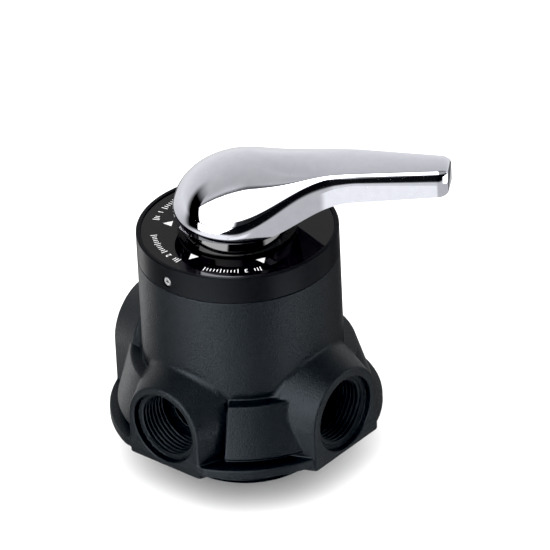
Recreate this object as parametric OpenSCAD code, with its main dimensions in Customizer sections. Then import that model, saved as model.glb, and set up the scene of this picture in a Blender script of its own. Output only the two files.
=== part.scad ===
// Three-position manual filter valve for a water-treatment or pool filter tank.
// The origin is on the valve's axis at the open end of the tank neck, +Z up.
// Inlet and outlet ports face +X and -X, the drain port faces -Y.

/* [Barrel] */
// Radius of the round barrel and of the cap ring above it
barrel_r = 48; // [46:0.5:52]
// Height of the barrel's top face, where the cap ring starts
barrel_top = 108.6; // [106:0.2:114]
// Height of the seat floor inside the barrel
seat_z = 78; // [76:0.5:80]
// Radius of the disc chamber
chamber_r = 36; // [35.5:0.1:36.5]
// Radius of the ceramic discs
disc_r = 27; // [26.5:0.1:27.5]
// Radius of the threaded bore that takes the bonnet
bonnet_bore_r = 40; // [39:0.5:41]

/* [Tank neck] */
// Radius of the neck over its tank thread
neck_r = 36.3; // [36:0.1:36.6]
// Length of the neck below the flange
neck_len = 22; // [20:0.5:26]
// Inner radius of the neck, where water goes to the top of the tank
neck_inner_r = 31; // [29:0.5:32]
// Bore radius of the socket for the riser pipe
riser_bore_r = 13.4; // [13.3:0.05:13.6]
// Depth of the riser socket
riser_depth = 26; // [24:0.5:28]

/* [Flange and skirt] */
// Radius of the base flange
flange_r = 65.4; // [64:0.2:68]
// Thickness of the base flange
flange_t = 4.7; // [4:0.1:6]
// Outer radius of the skirt at its foot
skirt_foot_r = 61.5; // [60:0.5:63]
// Outer radius of the skirt at its ledge
skirt_ledge_r = 54; // [53:0.5:56]
// Height of the ledge above the flange's underside
ledge_h = 33; // [31:0.5:36]

/* [Ports] */
// Distance from the valve's axis to the inlet and outlet faces
port_face = 62; // [61:0.5:66]
// Distance from the valve's axis to the drain face
drain_face = 60.8; // [60:0.4:66]
// Half width of the inlet and outlet blocks
port_half_w = 23; // [22.5:0.5:25]
// Half width of the drain block
drain_half_w = 21.2; // [21:0.2:24]
// Height of the inlet and drain axes above the flange's underside
port_axis_h = 18; // [17.5:0.5:20]
// Height of the outlet axis above the flange's underside
outlet_axis_h = 26; // [24:0.5:28]
// Minor radius of the 1 inch pipe thread
thread_minor_r = 15.15; // [15:0.05:15.3]
// Length of the thread behind the recess
thread_len = 16; // [14:0.5:18]
// Depth of the smooth recess in front of the thread
recess_depth = 3.5; // [3:0.5:4]

/* [Cap ring and dial] */
// Height of the cap ring
cap_h = 13.4; // [12:0.2:16]
// Width of the cap ring's raised rim
rim_w = 2.2; // [1.8:0.2:3]
// Thickness of the dial plate
dial_t = 1.7; // [1.5:0.1:2]

/* [Lever] */
// Direction of the lever at rest, in degrees from +X
lever_angle = 30; // [0:1:60]
// Radius of the lever's round head
head_r = 30; // [29:0.5:32]
// Length of the lever from the axis to its tip
lever_len = 102; // [98:1:110]
// Radius of the black hub under the lever
hub_r = 28.3; // [27:0.1:29]

/* [Hidden] */
$fn = 96;

black = [0.09, 0.09, 0.10];
gloss_black = [0.03, 0.03, 0.035];
rubber = [0.06, 0.06, 0.06];
ceramic = [0.86, 0.86, 0.83];
brass = [0.78, 0.62, 0.30];
steel = [0.70, 0.71, 0.72];
chrome = [0.85, 0.86, 0.88];
white_plastic = [0.88, 0.88, 0.85];

flange_z = neck_len;
flange_top = flange_z + flange_t;
axis_z = flange_z + port_axis_h;
outlet_z = flange_z + outlet_axis_h;
block_z = flange_z - 2.8;
ledge_z = flange_z + ledge_h;
rim_z = barrel_top + cap_h;

// Water passages. The inlet well opens beside the discs, the others open under the fixed disc.
outer_pitch_r = 21;
inner_pitch_r = 10.5;
inlet_well_r = 31.6;
port_well_r = 24;
link_r = 9;
neck_well_angle = 60;
riser_well_angle = 120;
riser_shaft_r = 9.5;
riser_link_z = 54;
inner_link_z = 70;
sleeve_r = 19.4;
duct_top = 25.5;

// Angles of the flow slots: each slot is centred on a mid angle with a half span
slot_outer = [outer_pitch_r - 4, outer_pitch_r + 4];
slot_inner = [inner_pitch_r - 3.5, inner_pitch_r + 3.5];
pin_angles = [90, 270];
pin_r = 1.5;

// Disc stack, from the seat floor up
gasket_t = 2;
fixed_t = 7;
moving_t = 6;
moving_gasket_t = 1.5;
face_gap = 0.05;
fixed_z = seat_z + gasket_t;
moving_z = fixed_z + fixed_t + face_gap;
moving_gasket_z = moving_z + moving_t;
seat_disc_z = moving_gasket_z + moving_gasket_t;
seat_disc_t = 8.5;
seat_top = seat_disc_z + seat_disc_t;
washer_t = 1.4;
washer_z = seat_top + 0.05;
web_z = washer_z + washer_t + 0.1;

// Bonnet and stem
bonnet_step_z = 92;
bonnet_cavity_r = 34.8;
bonnet_flange_r = 44;
bonnet_boss_r = 18;
bonnet_boss_top = 116.4;
stem_r = 9;
stem_fit = 0.05;
stem_square = 12.4;
stem_round_top = 118.6;
stem_top = 132;
stem_groove_r = 7.1;
stem_groove_h = 2.6;
stem_grooves_z = [108.4, 112.6];
lug_half_angle = 9;
lug_r = 33;
lug_angle = 90;
travel = 120;

// Cap ring and dial
cap_inner_r = 44.3;
cap_web_z = rim_z - 5.1;
dial_z = rim_z - 0.7 - dial_t;
dial_r = barrel_r - rim_w - 0.1;
dial_hole_r = 12;
set_screw_angle = -94;
set_screw_z = barrel_top + 5.4;
set_screw_r = 2;
insert_r = 3;

// Hub and lever
hub_z = rim_z - 0.2;
head_z = rim_z + 8;
hub_boss_r = 22;
hub_boss_top = head_z + 7;
hub_screw_r = 2.5;
screw_head_r = 5;
grub_r = 2;
grub_z = head_z + 3.6;

module at_angle(a) { rotate([0, 0, a]) children(); }

// A cylinder whose axis runs along +X from x0, at height z
module x_cylinder(x0, len, r, z, r2 = -1) {
  translate([x0, 0, z]) rotate([0, 90, 0]) cylinder(h = len, r1 = r, r2 = r2 < 0 ? r : r2);
}

// A ring of rectangular section
module ring(z, h, r_out, r_in) {
  translate([0, 0, z])
    rotate_extrude() translate([r_in, 0]) square([r_out - r_in, h]);
}

module cylinder_between(z0, z1, r) {
  translate([0, 0, z0]) cylinder(h = z1 - z0, r = r);
}

module o_ring(z, mid_r, cord_r) {
  translate([0, 0, z]) rotate_extrude() translate([mid_r, 0]) circle(r = cord_r, $fn = 32);
}

// ---- valve body ----

// Flared block round one port: a cone on a straight-sided foot, which is a hair narrower
module port_block(face, half_w, height) {
  root = 44;
  flare = 1.33;
  inset = 0.25;
  root_w = half_w * flare - inset;
  face_w = half_w - inset;
  intersection() {
    union() {
      x_cylinder(root, face - root, half_w * flare, height, half_w);
      translate([0, 0, block_z]) linear_extrude(height = height - block_z)
        polygon([[root, -root_w], [face, -face_w], [face, face_w], [root, root_w]]);
    }
    translate([0, -flange_r, block_z]) cube([face + 1, 2 * flange_r, barrel_top - block_z]);
  }
}

// Skirt between two ports, with a ledge on top and an undercut above the flange
module skirt(from, to) {
  foot_z = flange_top + 3.3;
  at_angle(from) rotate_extrude(angle = to - from) polygon([
    [barrel_r - 4, flange_z + 1],
    [skirt_foot_r - 4, flange_z + 1],
    [skirt_foot_r - 4, foot_z - 0.4],
    [skirt_foot_r - 0.4, foot_z - 0.4],
    [skirt_foot_r, foot_z],
    [skirt_ledge_r, ledge_z - 0.6],
    [skirt_ledge_r - 0.6, ledge_z],
    [barrel_r - 4, ledge_z]
  ]);
}

module body_outside() {
  lip = 0.8;
  rotate_extrude() polygon([
    [0, flange_z],
    [flange_r - lip, flange_z],
    [flange_r, flange_z + lip],
    [flange_r, flange_top - lip],
    [flange_r - lip, flange_top],
    [barrel_r, flange_top],
    [barrel_r, barrel_top],
    [0, barrel_top]
  ]);
  port_block(port_face, port_half_w, axis_z);
  at_angle(180) port_block(port_face, port_half_w, outlet_z);
  at_angle(-90) port_block(drain_face, drain_half_w, axis_z);
  skirt(-59.5, -25);
  skirt(202, 248);
  skirt(22, 158);
}

// Box that trims the flange just in front of the three port faces
module face_limits() {
  gap = 0.1;
  translate([-port_face - gap, -drain_face - gap, -1])
    cube([2 * (port_face + gap), drain_face + gap + flange_r + 1, barrel_top + 2]);
}

// Recess, thread and the link bore from one port inward to a given radius
module port_bore(face, recess_r, link_end, height) {
  x_cylinder(face - recess_depth, recess_depth + 1, recess_r, height);
  x_cylinder(face - recess_depth - thread_len, thread_len + 1, thread_minor_r, height);
  x_cylinder(link_end, face - link_end, link_r, height);
}

// Passage from a port's link bore up and inward to the inner ring of slots
module inner_passage(height) {
  translate([port_well_r, 0, height]) cylinder(h = inner_link_z - height, r = 6);
  x_cylinder(inner_pitch_r, port_well_r - inner_pitch_r + 4, 4.5, inner_link_z);
  translate([inner_pitch_r, 0, inner_link_z]) cylinder(h = seat_z, r = 3.4);
}

module body_inside() {
  port_recess_r = port_half_w - 4.2;
  drain_recess_r = drain_half_w - 3.4;
  // disc chamber and bonnet bore
  cylinder_between(seat_z, barrel_top + 1, chamber_r);
  cylinder_between(bonnet_step_z, barrel_top + 1, bonnet_bore_r);
  // inlet, outlet and drain
  port_bore(port_face, port_recess_r, inlet_well_r, axis_z);
  translate([inlet_well_r, 0, axis_z]) cylinder(h = seat_z - axis_z + 1, r = 4.2);
  at_angle(180) {
    port_bore(port_face, port_recess_r, port_well_r, outlet_z);
    inner_passage(outlet_z);
  }
  at_angle(-90) {
    port_bore(drain_face, drain_recess_r, port_well_r, axis_z);
    inner_passage(axis_z);
  }
  // pocket for the riser sleeve and the way up to the outer slots
  cylinder_between(flange_z - 1, riser_depth, sleeve_r + 0.02);
  cylinder_between(riser_depth - 1, riser_link_z + 6, riser_shaft_r);
  at_angle(riser_well_angle) {
    x_cylinder(0, outer_pitch_r, 5.5, riser_link_z);
    translate([outer_pitch_r, 0, riser_link_z]) cylinder(h = seat_z, r = 5.5);
  }
  // ring duct round the sleeve and its well
  cylinder_between(flange_z - 1, duct_top, neck_inner_r);
  at_angle(neck_well_angle)
    translate([outer_pitch_r + 1, 0, duct_top - 1]) cylinder(h = seat_z, r = 4);
  // blind holes for the pins that hold the fixed disc
  at_pins() translate([0, 0, seat_z - 5]) cylinder(h = 6, r = pin_r);
}

module valve_body() {
  color(black) difference() {
    intersection() {
      body_outside();
      face_limits();
    }
    body_inside();
  }
}

// ---- tank end ----

// Neck under the flange, with a land for the tank seal above its thread
module tank_neck_tube() {
  seal_land_r = 33.6;
  seal_h = 4.6;
  color(black) rotate_extrude() polygon([
    [neck_inner_r, 0],
    [neck_r, 0],
    [neck_r, flange_z - seal_h],
    [seal_land_r, flange_z - seal_h],
    [seal_land_r, flange_z],
    [neck_inner_r, flange_z]
  ]);
}

// Sleeve in the middle of the neck that takes the riser pipe and its seal
module riser_sleeve() {
  seal_pocket_r = 16.2;
  seal_pocket_h = 8.2;
  color(black) rotate_extrude() polygon([
    [seal_pocket_r, 0],
    [sleeve_r, 0],
    [sleeve_r, riser_depth],
    [riser_bore_r, riser_depth],
    [riser_bore_r, seal_pocket_h],
    [seal_pocket_r, seal_pocket_h]
  ]);
}

module tank_o_ring() {
  color(rubber) o_ring(flange_z - 2.3, 36.1, 2.25);
}

module riser_o_ring() {
  color(rubber) o_ring(6.3, 14.75, 1.3);
}

// Snap ring that keeps the riser seal in its pocket
module riser_seal_retainer() {
  inner = riser_bore_r + 0.2;
  color(white_plastic) rotate_extrude() polygon([
    [inner, 0.4], [15, 0], [16.15, 0.8], [16.15, 4.8], [inner, 4.8]
  ]);
}

// ---- disc stack ----

// A curved slot through a disc of height h that starts at z = 0
module slot(radii, mid, half, h) {
  translate([0, 0, -1]) at_angle(mid - half)
    rotate_extrude(angle = 2 * half) translate([radii[0], 0]) square([radii[1] - radii[0], h + 2]);
}

// The four slots that the gasket and the fixed disc share
module flow_slots(h) {
  slot(slot_outer, 0, 79, h);
  slot(slot_outer, 180, 79, h);
  slot(slot_inner, 180, 18, h);
  slot(slot_inner, 270, 48, h);
}

module at_pins() {
  for (a = pin_angles) at_angle(a) translate([outer_pitch_r, 0, 0]) children();
}

module disc_gasket() {
  color(rubber) translate([0, 0, seat_z]) difference() {
    cylinder(h = gasket_t, r = disc_r);
    flow_slots(gasket_t);
    at_pins() translate([0, 0, -1]) cylinder(h = gasket_t + 2, r = pin_r);
  }
}

module fixed_disc() {
  color(ceramic) translate([0, 0, fixed_z]) difference() {
    cylinder(h = fixed_t, r = disc_r);
    flow_slots(fixed_t);
    at_pins() translate([0, 0, -1]) cylinder(h = 5, r = pin_r);
  }
}

module locating_pins() {
  color(steel) at_pins() cylinder_between(seat_z - 4.8, fixed_z + 3.6, pin_r - 0.03);
}

// Rotor disc: one through slot feeds from the chamber, one blind cavity joins inner and outer slots
module moving_disc() {
  color(ceramic) translate([0, 0, moving_z]) difference() {
    cylinder(h = moving_t, r = disc_r);
    slot([slot_outer[0] + 0.5, slot_outer[1] - 0.5], 0, 16, moving_t);
    slot([slot_inner[0] + 0.5, slot_outer[1] - 0.5], 180, 16, 2.5);
    at_pins() translate([0, 0, moving_t - 3.2]) cylinder(h = 4.2, r = pin_r);
  }
}

module moving_disc_gasket() {
  color(rubber) translate([0, 0, moving_gasket_z]) difference() {
    cylinder(h = moving_gasket_t, r = disc_r);
    slot([slot_outer[0] + 0.5, slot_outer[1] - 0.5], 0, 16, moving_gasket_t);
    at_pins() translate([0, 0, -1]) cylinder(h = moving_gasket_t + 2, r = pin_r);
  }
}

module drive_pins() {
  color(steel) at_pins() cylinder_between(moving_gasket_z - 3, seat_disc_z + 3.6, pin_r - 0.03);
}

// ---- rotor ----

// The square end of the stem, grown by a clearance
module stem_prism(z0, z1, clearance) {
  side = stem_square + 2 * clearance;
  at_angle(lever_angle) translate([-side / 2, -side / 2, z0]) cube([side, side, z1 - z0]);
}

// Seat that carries the moving disc, with its stem in one piece
module moving_seat() {
  color(black) difference() {
    union() {
      cylinder_between(seat_disc_z, seat_top, disc_r);
      translate([0, 0, seat_disc_z + 2]) at_angle(lug_angle - lug_half_angle)
        rotate_extrude(angle = 2 * lug_half_angle)
          translate([disc_r - 2, 0]) square([lug_r - disc_r + 2, seat_disc_t - 2]);
      cylinder_between(seat_top - 1, stem_round_top, stem_r);
      stem_prism(stem_round_top - 1, stem_top, 0);
    }
    // side window that feeds the through slot of the moving disc
    translate([0, 0, seat_disc_z]) slot([slot_outer[0] - 1, disc_r + 2], 0, 25, 4.5);
    at_pins() cylinder_between(seat_disc_z - 1, seat_disc_z + 4, pin_r);
    for (z = stem_grooves_z) ring(z, stem_groove_h, stem_r + 1, stem_groove_r);
    cylinder_between(stem_top - 13, stem_top + 1, 3.6);
  }
}

// Brass threaded insert moulded into the stem
module stem_insert() {
  color(brass) difference() {
    cylinder_between(stem_top - 12.5, stem_top - 0.5, 3.58);
    cylinder_between(stem_top - 13, stem_top, hub_screw_r + 0.02);
  }
}

module thrust_washer() {
  color(white_plastic) ring(washer_z, washer_t, 20, stem_r + 0.15);
}

module stem_o_rings() {
  color(rubber) for (z = stem_grooves_z)
    o_ring(z + stem_groove_h / 2, (stem_groove_r + stem_r) / 2 + 0.02, 0.93);
}

// ---- bonnet ----

// Inverted cup that screws into the barrel, guides the stem and stops its lug at both ends
module bonnet() {
  stop_span = 12;
  stop_gap = 0.6;
  stop_starts = [lug_angle - lug_half_angle - stop_gap - stop_span,
                 lug_angle + travel + lug_half_angle + stop_gap];
  color(black) difference() {
    union() {
      cylinder_between(bonnet_step_z + 0.1, barrel_top, bonnet_bore_r - 2.7);
      cylinder_between(bonnet_step_z + 2.6, barrel_top, bonnet_bore_r - 0.02);
      cylinder_between(barrel_top, barrel_top + 3, bonnet_flange_r);
      cylinder_between(barrel_top, bonnet_boss_top, bonnet_boss_r);
    }
    difference() {
      cylinder_between(bonnet_step_z - 1, web_z, bonnet_cavity_r);
      for (a = stop_starts) at_angle(a) translate([0, 0, seat_disc_z + 3])
        rotate_extrude(angle = stop_span)
          translate([disc_r + 0.6, 0]) square([bonnet_cavity_r, web_z]);
    }
    cylinder_between(web_z - 1, bonnet_boss_top + 1, stem_r + stem_fit);
    // four slots in the flange for a pin spanner
    for (a = [45 : 90 : 315]) at_angle(a)
      translate([bonnet_flange_r - 5, -3, barrel_top + 1]) cube([6, 6, 3]);
  }
}

module bonnet_o_ring() {
  color(rubber) o_ring(bonnet_step_z + 1.3, bonnet_bore_r - 1.35, 1.28);
}

// ---- cap ring and dial ----

module cap_ring() {
  chamfer = 0.7;
  color(black) difference() {
    rotate_extrude() polygon([
      [cap_inner_r, barrel_top],
      [barrel_r - 0.4, barrel_top],
      [barrel_r, barrel_top + 0.4],
      [barrel_r, rim_z - chamfer],
      [barrel_r - chamfer, rim_z],
      [barrel_r - rim_w, rim_z],
      [barrel_r - rim_w, dial_z],
      [dial_hole_r, dial_z],
      [dial_hole_r, cap_web_z],
      [cap_inner_r, cap_web_z]
    ]);
    at_angle(set_screw_angle)
      x_cylinder(cap_inner_r - 1, 6, insert_r, set_screw_z);
  }
}

// Blackened threaded insert in the ring's side
module ring_insert() {
  color(gloss_black) at_angle(set_screw_angle) difference() {
    x_cylinder(cap_inner_r + 0.1, barrel_r - cap_inner_r - 0.5, insert_r - 0.02, set_screw_z);
    x_cylinder(cap_inner_r - 1, 6, set_screw_r + 0.02, set_screw_z);
  }
}

// Hexagonal recess that runs inward along -X from the origin
module hex_socket(r, depth) {
  translate([-depth, 0, 0]) rotate([0, 90, 0]) cylinder(h = depth + 1, r = r, $fn = 6);
}

module ring_set_screw() {
  tip = bonnet_flange_r + 0.1;
  end = barrel_r - 0.2;
  color(steel) at_angle(set_screw_angle) difference() {
    x_cylinder(tip, end - tip, set_screw_r, set_screw_z);
    translate([end, 0, set_screw_z]) hex_socket(1.15, 1.8);
  }
}

module dial_plate() {
  color(gloss_black) ring(dial_z, dial_t, dial_r, dial_hole_r);
}

// ---- hub and its fasteners ----

module lever_hub() {
  taper = 1.35;
  foot_h = 1.6;
  color(gloss_black) difference() {
    rotate_extrude() polygon([
      [0, hub_z], [hub_r, hub_z], [hub_r, hub_z + foot_h], [hub_r - taper, head_z - 0.1],
      [hub_boss_r, head_z - 0.1], [hub_boss_r, hub_boss_top], [0, hub_boss_top]
    ]);
    stem_prism(hub_z - 1, stem_top + 0.02, 0.05);
    cylinder_between(stem_top - 1, hub_boss_top + 1, hub_screw_r + 0.3);
    cylinder_between(hub_boss_top - 2.4, hub_boss_top + 1, screw_head_r + 1);
    at_angle(lever_angle + 180) x_cylinder(hub_boss_r - 3, 6, grub_r + 0.02, grub_z);
  }
}

module hub_screw_washer() {
  color(steel) ring(hub_boss_top - 2.4, 1, screw_head_r + 0.8, hub_screw_r + 0.2);
}

module hub_screw() {
  head = hub_boss_top - 1.4;
  color(steel) difference() {
    union() {
      cylinder_between(stem_top - 11.5, head, hub_screw_r);
      cylinder_between(head, head + 3, screw_head_r - 0.4);
    }
    translate([0, 0, head + 1]) cylinder(h = 3, r = 2, $fn = 6);
  }
}

module lever_grub_screw() {
  tip = hub_boss_r - 2.6;
  len = 9.4;
  color(steel) at_angle(lever_angle + 180) difference() {
    x_cylinder(tip, len, grub_r, grub_z);
    translate([tip + len, 0, grub_z]) hex_socket(1.15, 2);
  }
}

// ---- lever ----
// The lever is lofted along its own +X. Heights are measured from the cap ring's rim.

function smooth(t) = let (s = min(1, max(0, t))) s * s * (3 - 2 * s);

// Cubic from (x0, y0) with slope m0 to (x1, y1) with slope m1
function cubic(x, x0, y0, m0, x1, y1, m1) =
  let (w = x1 - x0, t = (x - x0) / w)
  (2 * t * t * t - 3 * t * t + 1) * y0 + (t * t * t - 2 * t * t + t) * w * m0
  + (3 * t * t - 2 * t * t * t) * y1 + (t * t * t - t * t) * w * m1;

tip_round = 5;
neck_x0 = 8.4;
neck_x1 = 49.7;
arm_w0 = 13.7;
arm_w1 = 8.4;
crown_x = 10.8;
crown_h = 39;
rim_h = 10.4;
// Shoulder of the arm: a slow curve up to the first tilt, then a tight one up to the second
slow_r = 12.7;
slow_tilt = 18;
tight_r = 2;
tight_tilt = 77;

// How far the tip's rounding pulls the outline in, from 0 to 1
function tip_pull(x) =
  let (d = max(0, x - (lever_len - tip_round)) / tip_round) 1 - sqrt(max(0, 1 - d * d));

// Half width of the outline seen from above
function lever_w(x) =
  x < neck_x0 ? sqrt(max(0, head_r * head_r - x * x))
  : let (w0 = sqrt(head_r * head_r - neck_x0 * neck_x0))
    x < neck_x1 ? cubic(x, neck_x0, w0, -neck_x0 / w0, neck_x1, arm_w0, -0.09)
    : arm_w0 + (arm_w1 - arm_w0) * (x - neck_x1) / (lever_len - neck_x1) - 3 * tip_pull(x);

// Height of the underside
function lever_low(x) =
  head_z - rim_z + 15.4 * smooth((x - 12) / 46) + 3.2 * max(0, x - 56) / 46 + 1.5 * tip_pull(x);

// Height of the top of the side wall
function lever_side(x) = rim_h + 22.2 * smooth(x / 61) - 0.8 * tip_pull(x);

// Height of the crown
function lever_crown(x) =
  x < crown_x
  ? rim_h + (crown_h - rim_h) * sqrt(max(0, 1 - pow((x - crown_x) / (head_r + crown_x), 2)))
  : crown_h + 2 * (x - crown_x) / (lever_len - crown_x) - 2.5 * tip_pull(x);

// Inward and upward travel along the shoulder until the face has this tilt, for a half width
function shoulder(tilt, width) =
  let (slow = min(tilt, slow_tilt), tight = min(max(tilt, slow_tilt), tight_tilt),
       top = max(tilt, tight_tilt),
       corner = slow_r * (1 - cos(slow_tilt)) + tight_r * (cos(slow_tilt) - cos(tight_tilt)),
       top_r = (width - corner) / cos(tight_tilt))
  [slow_r * (1 - cos(slow)) + tight_r * (cos(slow_tilt) - cos(tight))
     + top_r * (cos(tight_tilt) - cos(top)),
   slow_r * sin(slow) + tight_r * (sin(tight) - sin(slow_tilt))
     + top_r * (sin(top) - sin(tight_tilt))];

// Half section above the side wall: domed at the head, boxy on the arm
function half_point(x, tilt) =
  let (w = lever_w(x), rise = lever_crown(x) - lever_side(x), boxy = smooth((x - 6.5) / 45),
       around = atan2(rise * sin(tilt), w * cos(tilt)),
       dome = [w * cos(around), rise * sin(around)],
       s = boxy > 0 ? shoulder(tilt, w) : [0, 0],
       full = boxy > 0 ? shoulder(90, w)[1] : 1,
       box = [w - s[0], rise * s[1] / full])
  boxy > 0 ? dome + boxy * (box - dome) : dome;

crown_steps = 10;
head_steps = 14;
lever_stations = concat(
  [for (i = [1 : head_steps]) -head_r * cos(90 * i / head_steps * 0.999)],
  [for (x = [4 : 4 : lever_len - tip_round - 1]) x],
  [for (i = [0 : 5]) lever_len - tip_round + tip_round * sin(15 * i)]
);

// One closed section of the lever: underside corners, then over the top
function lever_section(x) =
  let (w = lever_w(x), low = lever_low(x), side = lever_side(x),
       half = [for (i = [0 : crown_steps]) half_point(x, 90 * i / crown_steps)])
  concat([[x, w, low], [x, -w, low]],
         [for (i = [0 : crown_steps]) [x, -half[i][0], side + half[i][1]]],
         [for (i = [crown_steps - 1 : -1 : 0]) [x, half[i][0], side + half[i][1]]]);

module lever_shape() {
  n = 2 * crown_steps + 3;
  last = len(lever_stations) - 1;
  points = [for (x = lever_stations) each lever_section(x)];
  sides = [for (j = [0 : last - 1]) for (i = [0 : n - 1])
    [j * n + i, j * n + (i + 1) % n, (j + 1) * n + (i + 1) % n, (j + 1) * n + i]];
  start = [for (i = [n - 1 : -1 : 0]) i];
  end = [for (i = [0 : n - 1]) last * n + i];
  polyhedron(points, concat([start], sides, [end]));
}

module lever() {
  color(chrome) difference() {
    translate([0, 0, rim_z]) at_angle(lever_angle) lever_shape();
    cylinder_between(head_z - 1, hub_boss_top + 0.3, hub_boss_r + 0.05);
    cylinder_between(head_z, hub_boss_top + 3.5, screw_head_r + 1.5);
    at_angle(lever_angle + 180) x_cylinder(hub_boss_r - 3, 12, grub_r + 0.02, grub_z);
  }
}

valve_body();
tank_neck_tube();
riser_sleeve();
tank_o_ring();
riser_o_ring();
riser_seal_retainer();
disc_gasket();
fixed_disc();
locating_pins();
moving_disc();
moving_disc_gasket();
drive_pins();
moving_seat();
stem_insert();
thrust_washer();
stem_o_rings();
bonnet();
bonnet_o_ring();
cap_ring();
ring_insert();
ring_set_screw();
dial_plate();
lever_hub();
hub_screw();
hub_screw_washer();
lever_grub_screw();
lever();
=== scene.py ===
"""Looks for a three-position manual filter valve: moulded body, threads, dial, chrome lever, studio."""

import itertools
import math

import bmesh
import bpy
import numpy as np
from mathutils import Matrix, Vector


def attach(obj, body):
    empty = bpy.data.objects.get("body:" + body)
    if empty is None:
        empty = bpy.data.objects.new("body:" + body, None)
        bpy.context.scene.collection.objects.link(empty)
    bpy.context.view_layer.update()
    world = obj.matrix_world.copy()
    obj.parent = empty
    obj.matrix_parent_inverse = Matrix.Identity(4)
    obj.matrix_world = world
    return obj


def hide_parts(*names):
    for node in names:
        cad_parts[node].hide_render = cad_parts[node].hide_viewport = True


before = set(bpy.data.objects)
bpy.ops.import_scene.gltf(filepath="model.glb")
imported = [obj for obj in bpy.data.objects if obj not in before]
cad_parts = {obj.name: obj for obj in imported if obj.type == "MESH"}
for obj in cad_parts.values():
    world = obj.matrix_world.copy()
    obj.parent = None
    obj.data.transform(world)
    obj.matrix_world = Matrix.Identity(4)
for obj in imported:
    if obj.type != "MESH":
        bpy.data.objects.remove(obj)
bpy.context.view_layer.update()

MM = 0.001  # the valve's sizes are in millimetres, as in the CAD source; the studio's are in metres

# Main dimensions, shared with the CAD source
BARREL_R = 48
BARREL_TOP = 108.6
RIM_Z = 122
FLANGE_Z, FLANGE_TOP, FLANGE_R = 22, 26.7, 65.4
AXIS_Z, OUTLET_Z = 40, 48
BLOCK_Z = 19.2
BLOCK_ROOT, BLOCK_FLARE = 44, 1.33
PORT_FACE, DRAIN_FACE = 62, 60.8
PORT_HALF_W, DRAIN_HALF_W = 23, 21.2
PORT_RECESS_R, DRAIN_RECESS_R = 18.8, 17.8
# Each port: plan angle, distance of its face, half width, recess radius, height of its axis
PORTS = ((0, PORT_FACE, PORT_HALF_W, PORT_RECESS_R, AXIS_Z),
         (180, PORT_FACE, PORT_HALF_W, PORT_RECESS_R, OUTLET_Z),
         (-90, DRAIN_FACE, DRAIN_HALF_W, DRAIN_RECESS_R, AXIS_Z))
RECESS_DEPTH, THREAD_LEN, LINK_R = 3.5, 16, 9
THREAD_MINOR_R, THREAD_MAJOR_R, THREAD_PITCH = 15.15, 16.63, 2.309
LEDGE_Z, LEDGE_R, FOOT_Z, FOOT_R = 55, 54, 30, 61.5
# Each skirt's first and last side: plan angle, and how far it leans out per mm below the ledge
SKIRTS = (((-58.4, 0.07), (-26, 0.14)), ((202, 0), (248, 0)), ((22, 0), (158, 0)))
NECK_R, NECK_MINOR_R, NECK_PITCH = 36.3, 34.9, 3.175
SEAL_LAND_R, SEAL_LAND_H = 33.6, 4.6
# Inside: radius and top of the disc chamber, bonnet bore, riser socket, riser seal pocket and shaft
CHAMBER_R, CHAMBER_Z, BONNET_R, BONNET_Z = 36, 78, 40, 92
RISER_R, RISER_TOP, SEAL_R, SEAL_TOP, SHAFT_R, SHAFT_TOP = 13.4, 26, 16.2, 8.2, 9.5, 60
SLEEVE_R, DUCT_R, DUCT_TOP = 19.4, 31, 25.5
# Upright wells, with the three ports' own first: plan angle, distance from the axis, radius, bottom, top
WELLS = ((0, 31.6, 4.2, AXIS_Z, 79), (180, 24, 6, OUTLET_Z, 70), (-90, 24, 6, AXIS_Z, 70),
         (180, 10.5, 3.4, 70, 80), (-90, 10.5, 3.4, 70, 80), (120, 21, 5.5, 54, 80),
         (60, 22, 4, 24.5, 80))
# Level links between wells: plan angle, radius, height, start, end
LINKS = ((180, 4.5, 70, 10.5, 28), (-90, 4.5, 70, 10.5, 28), (120, 5.5, 54, 0, 21))
RING_WALL, RING_FLOOR, DIAL_HOLE_R = 2.2, 5.1, 12
SCREW_ANGLE, SCREW_Z, SCREW_HOLE_R = -94, BARREL_TOP + 5.4, 3
DIAL_TOP, DIAL_R, DIAL_THICK = 121.3, 45.7, 1.7
HUB_R, HUB_TAPER, HUB_FOOT, HEAD_Z = 28.3, 1.5, 0.9, 130
HUB_BOSS_R, HUB_BOSS_H, STEM_R, SCREW_R = 22, 7, 9.3, 2.8
LEVER_ANGLE = 30


# ---- materials ----

def new_material(name):
    material = bpy.data.materials.new(name)
    material.use_nodes = True
    return material, material.node_tree.nodes["Principled BSDF"]


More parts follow.
